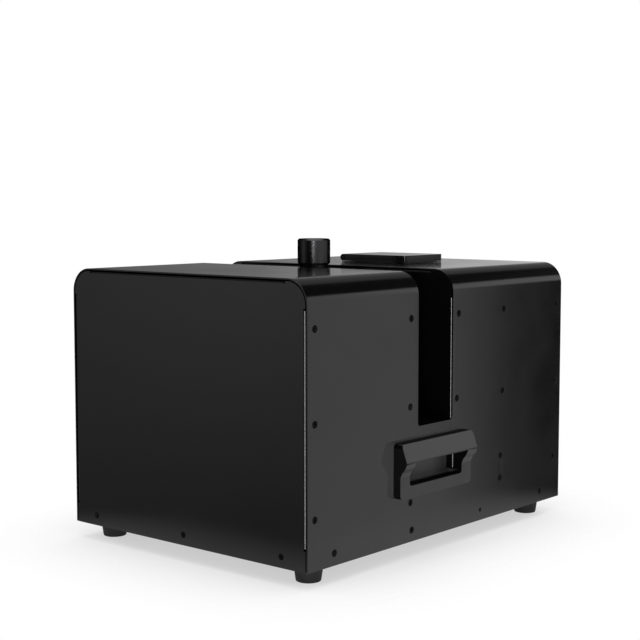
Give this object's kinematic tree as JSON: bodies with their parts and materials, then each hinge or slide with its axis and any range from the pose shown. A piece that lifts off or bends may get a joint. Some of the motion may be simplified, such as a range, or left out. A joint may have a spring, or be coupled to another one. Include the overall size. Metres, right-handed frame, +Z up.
{
  "type": "cold spark machine",
  "caption": "Cold spark effect machine: slotted black sheet-metal case with a swinging nozzle, a hinged filler lid over the hopper, recessed hand grips and rubber feet.",
  "frame": {"origin": "on the ground under the middle of the case, at the height of the feet's undersides", "axes": "+Z up, the front panel faces -Y, +X is the side with the grip seen in the picture, +Y towards the rear panel"},
  "size_m": [0.3846, 0.475, 0.3395],
  "materials": {
    "case_paint": "satin black powder paint",
    "zinc_sheet": "zinc-plated sheet",
    "foot_rubber": "matte black rubber",
    "grip_plastic": "fine-grained black plastic",
    "lid_aluminium": "black anodised",
    "bare_aluminium": "machined",
    "bright_steel": "bright turned steel",
    "dark_steel": "dark oxidised steel",
    "silicone": "matte red silicone",
    "belt_rubber": "matte black rubber",
    "feed_brass": "turned brass",
    "black_plastic": "satin black plastic",
    "red_plastic": "glossy red plastic",
    "supply_case": "folded bare sheet",
    "circuit_board": "green circuit board",
    "display_glass": "smoked clear window"
  },
  "bodies": {
    "case": {"outer_shell": "case_paint", "front_panel": "case_paint", "rear_panel": "case_paint", "base_tray": "case_paint", "front_bulkhead": "case_paint", "rear_bulkhead": "case_paint", "slot_floor": "case_paint", "cross_frame": "zinc_sheet", "foot_front_left": "foot_rubber", "foot_rear_left": "foot_rubber", "foot_front_right": "foot_rubber", "foot_rear_right": "foot_rubber", "grip_left": "grip_plastic", "grip_right": "grip_plastic", "lid_frame": "lid_aluminium", "lid_hinge_pin": "bright_steel", "hopper_funnel": "zinc_sheet", "front_bearing": "dark_steel", "rear_bearing": "dark_steel", "drive_belt": "belt_rubber", "swing_motor": "dark_steel", "motor_bracket": "zinc_sheet", "feed_tube": "feed_brass", "feed_motor": "bright_steel", "blower_housing": "black_plastic", "blower_motor": "dark_steel", "air_duct": "bare_aluminium", "fan_frame_left": "black_plastic", "fan_guard_left": "bright_steel", "fan_frame_right": "black_plastic", "fan_guard_right": "bright_steel", "power_supply": "supply_case", "control_board": "circuit_board", "display_board": "circuit_board", "display_window": "display_glass", "power_inlet": "black_plastic", "fuse_holder": "black_plastic", "rocker_frame": "black_plastic", "data_input": "bright_steel", "data_output": "black_plastic"},
    "nozzle": {"nozzle_head": "dark_steel", "nozzle_tube": "dark_steel", "nozzle_tip": "lid_aluminium", "heater_band": "bright_steel", "front_trunnion": "bright_steel", "rear_trunnion": "bright_steel", "driven_pulley": "bare_aluminium"},
    "pulley": {"motor_pulley": "bare_aluminium"},
    "auger": {"feed_auger": "bright_steel"},
    "impeller": {"blower_impeller": "black_plastic"},
    "left_fan": {"fan_rotor_left": "black_plastic"},
    "right_fan": {"fan_rotor_right": "black_plastic"},
    "lid": {"filler_lid": "lid_aluminium", "lid_seal": "silicone"},
    "button_1": {"menu_button_1": "black_plastic"},
    "button_2": {"menu_button_2": "black_plastic"},
    "button_3": {"menu_button_3": "black_plastic"},
    "button_4": {"menu_button_4": "black_plastic"},
    "rocker": {"power_rocker": "red_plastic"},
    "latch": {"data_latch": "bright_steel"}
  },
  "joints": [
    {"name": "nozzle_swing", "type": "hinge", "parent": "case", "child": "nozzle", "pos_m": [0, -0.0245, 0.17], "axis": [0, 1, 0], "range_deg": [-90, 90]},
    {"name": "motor_pulley_spin", "type": "hinge", "parent": "case", "child": "pulley", "pos_m": [0.075, -0.0845, 0.17], "axis": [0, 1, 0], "range_deg": [-272, 272]},
    {"name": "auger_spin", "type": "hinge", "parent": "case", "child": "auger", "pos_m": [0, 0.08, 0.17], "axis": [0, 1, 0], "continuous": true},
    {"name": "impeller_spin", "type": "hinge", "parent": "case", "child": "impeller", "pos_m": [0.028, -0.115, 0.08], "axis": [0, 1, 0], "continuous": true},
    {"name": "left_fan_spin", "type": "hinge", "parent": "case", "child": "left_fan", "pos_m": [-0.112, 0.204, 0.223], "axis": [0, 1, 0], "continuous": true},
    {"name": "right_fan_spin", "type": "hinge", "parent": "case", "child": "right_fan", "pos_m": [0.112, 0.204, 0.223], "axis": [0, 1, 0], "continuous": true},
    {"name": "lid_hinge", "type": "hinge", "parent": "case", "child": "lid", "pos_m": [-0.0339, 0.1079, 0.314], "axis": [0, -1, 0], "range_deg": [0, 110]},
    {"name": "button_1_press", "type": "slide", "parent": "case", "child": "button_1", "axis": [0, -1, 0], "range_m": [0, 0.0012], "stiffness_N_per_m": 300, "springref_m": -0.0015},
    {"name": "button_2_press", "type": "slide", "parent": "case", "child": "button_2", "axis": [0, -1, 0], "range_m": [0, 0.0012], "stiffness_N_per_m": 300, "springref_m": -0.0015},
    {"name": "button_3_press", "type": "slide", "parent": "case", "child": "button_3", "axis": [0, -1, 0], "range_m": [0, 0.0012], "stiffness_N_per_m": 300, "springref_m": -0.0015},
    {"name": "button_4_press", "type": "slide", "parent": "case", "child": "button_4", "axis": [0, -1, 0], "range_m": [0, 0.0012], "stiffness_N_per_m": 300, "springref_m": -0.0015},
    {"name": "latch_press", "type": "slide", "parent": "case", "child": "latch", "axis": [0, -1, 0], "range_m": [0, 0.0015], "stiffness_N_per_m": 400, "springref_m": -0.0015},
    {"name": "rocker_tip", "type": "hinge", "parent": "case", "child": "rocker", "pos_m": [-0.044, 0.2135, 0.07], "axis": [-1, 0, 0], "range_deg": [0, 24]}
  ],
  "couplings": [
    {"joint": "motor_pulley_spin", "follows": "nozzle_swing", "ratio": 3}
  ]
}
